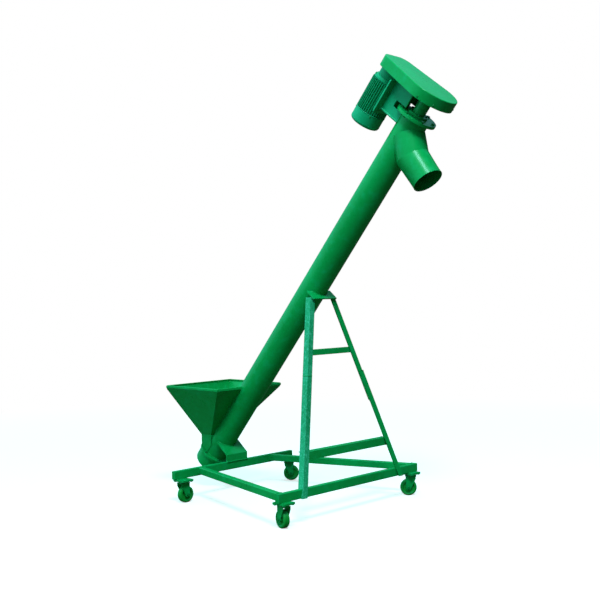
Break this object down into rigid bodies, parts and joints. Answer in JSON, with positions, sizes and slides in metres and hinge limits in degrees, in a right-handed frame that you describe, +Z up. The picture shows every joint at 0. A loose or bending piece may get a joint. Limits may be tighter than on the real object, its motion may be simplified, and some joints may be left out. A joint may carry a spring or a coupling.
{
  "type": "grain auger",
  "caption": "Wheeled inclined screw conveyor: green steel tube on an A-frame trolley with a feed hopper at the foot, belt-driven head and a downward discharge spout.",
  "frame": {"origin": "on the floor, under the middle of the overall length and width", "axes": "+X from the hopper end to the discharge head, +Z up, +Y to the side that carries the terminal box"},
  "size_m": [2.0142, 1.22, 2.5299],
  "materials": {
    "frame_green": "smooth gloss enamel, machine green",
    "leg_green": "gloss enamel, lighter green on the near angle-section leg",
    "motor_green": "gloss enamel over cast ribs",
    "wheel_green": "semi-gloss green solid wheel",
    "painted_bolt": "fasteners painted over with the frame",
    "bare_steel": "turned steel shafting",
    "flight_steel": "grain-polished mild steel",
    "cast_iron": "machined cast iron",
    "belt_rubber": "matte belt rubber",
    "black_plastic": "moulded black plastic"
  },
  "bodies": {
    "frame": {"beam_end_caps": "frame_green", "belt_guard": "frame_green", "boot_flange": "frame_green", "boot_housing": "frame_green", "cable_gland": "black_plastic", "caster_bolts": "painted_bolt", "caster_front_far_plate": "frame_green", "caster_front_near_plate": "frame_green", "caster_pads": "frame_green", "caster_rear_far_plate": "frame_green", "caster_rear_near_plate": "frame_green", "discharge_spout": "frame_green", "flange_bolts": "painted_bolt", "front_cross_beam": "frame_green", "front_saddle": "frame_green", "guard_backplate": "frame_green", "head_cover": "frame_green", "head_flange": "frame_green", "hopper": "frame_green", "hopper_rim": "frame_green", "leg_lower_far": "frame_green", "leg_lower_near": "leg_green", "leg_tie_lower": "frame_green", "leg_tie_upper": "frame_green", "leg_upper_far": "frame_green", "leg_upper_near": "leg_green", "lower_bearing": "cast_iron", "motor_base_plate": "motor_green", "motor_bolts": "painted_bolt", "motor_bracket_plates": "motor_green", "motor_end_shield": "motor_green", "motor_fan_cowl": "motor_green", "motor_frame": "motor_green", "motor_terminal_box": "motor_green", "rear_cross_beam": "frame_green", "rear_saddle": "frame_green", "side_rail_far": "frame_green", "side_rail_near": "frame_green", "tube_casing": "frame_green", "upper_bearing": "frame_green", "v_belts": "belt_rubber"},
    "screw": {"screw_shaft": "bare_steel", "screw_flights": "flight_steel", "large_pulley": "cast_iron"},
    "motor_shaft": {"motor_rotor": "bare_steel", "motor_fan": "black_plastic", "small_pulley": "cast_iron"},
    "swivel_front_near": {"caster_front_near_fork": "frame_green", "caster_front_near_axle": "painted_bolt"},
    "wheel_front_near": {"caster_front_near_wheel": "wheel_green"},
    "swivel_front_far": {"caster_front_far_fork": "frame_green", "caster_front_far_axle": "painted_bolt"},
    "wheel_front_far": {"caster_front_far_wheel": "wheel_green"},
    "swivel_rear_near": {"caster_rear_near_fork": "frame_green", "caster_rear_near_axle": "painted_bolt"},
    "wheel_rear_near": {"caster_rear_near_wheel": "wheel_green"},
    "swivel_rear_far": {"caster_rear_far_fork": "frame_green", "caster_rear_far_axle": "painted_bolt"},
    "wheel_rear_far": {"caster_rear_far_wheel": "wheel_green"}
  },
  "joints": [
    {"name": "screw_spin", "type": "hinge", "parent": "frame", "child": "screw", "pos_m": [-0.6252, 0, 0.5], "axis": [0.6428, 0, 0.766], "continuous": true},
    {"name": "motor_spin", "type": "hinge", "parent": "frame", "child": "motor_shaft", "pos_m": [-0.84352, 0, 0.68319], "axis": [0.6428, 0, 0.766], "continuous": true},
    {"name": "caster_front_near_swivel", "type": "hinge", "parent": "frame", "child": "swivel_front_near", "pos_m": [-0.6402, -0.46, 0.12], "axis": [0, 0, 1], "continuous": true},
    {"name": "caster_front_near_spin", "type": "hinge", "parent": "swivel_front_near", "child": "wheel_front_near", "pos_m": [-0.63898, -0.44605, 0.05], "axis": [-0.9962, 0.0872, 0], "continuous": true},
    {"name": "caster_front_far_swivel", "type": "hinge", "parent": "frame", "child": "swivel_front_far", "pos_m": [-0.6402, 0.46, 0.12], "axis": [0, 0, 1], "continuous": true},
    {"name": "caster_front_far_spin", "type": "hinge", "parent": "swivel_front_far", "child": "wheel_front_far", "pos_m": [-0.62948, 0.469, 0.05], "axis": [-0.6428, 0.766, 0], "continuous": true},
    {"name": "caster_rear_near_swivel", "type": "hinge", "parent": "frame", "child": "swivel_rear_near", "pos_m": [0.2888, -0.56, 0.12], "axis": [0, 0, 1], "continuous": true},
    {"name": "caster_rear_near_spin", "type": "hinge", "parent": "swivel_rear_near", "child": "wheel_rear_near", "pos_m": [0.27528, -0.55638, 0.05], "axis": [-0.2588, -0.9659, 0], "continuous": true},
    {"name": "caster_rear_far_swivel", "type": "hinge", "parent": "frame", "child": "swivel_rear_far", "pos_m": [0.2888, 0.56, 0.12], "axis": [0, 0, 1], "continuous": true},
    {"name": "caster_rear_far_spin", "type": "hinge", "parent": "swivel_rear_far", "child": "wheel_rear_far", "pos_m": [0.2784, 0.55063, 0.05], "axis": [0.6691, -0.7431, 0], "continuous": true}
  ],
  "couplings": [
    {"joint": "motor_spin", "follows": "screw_spin", "ratio": 3}
  ]
}
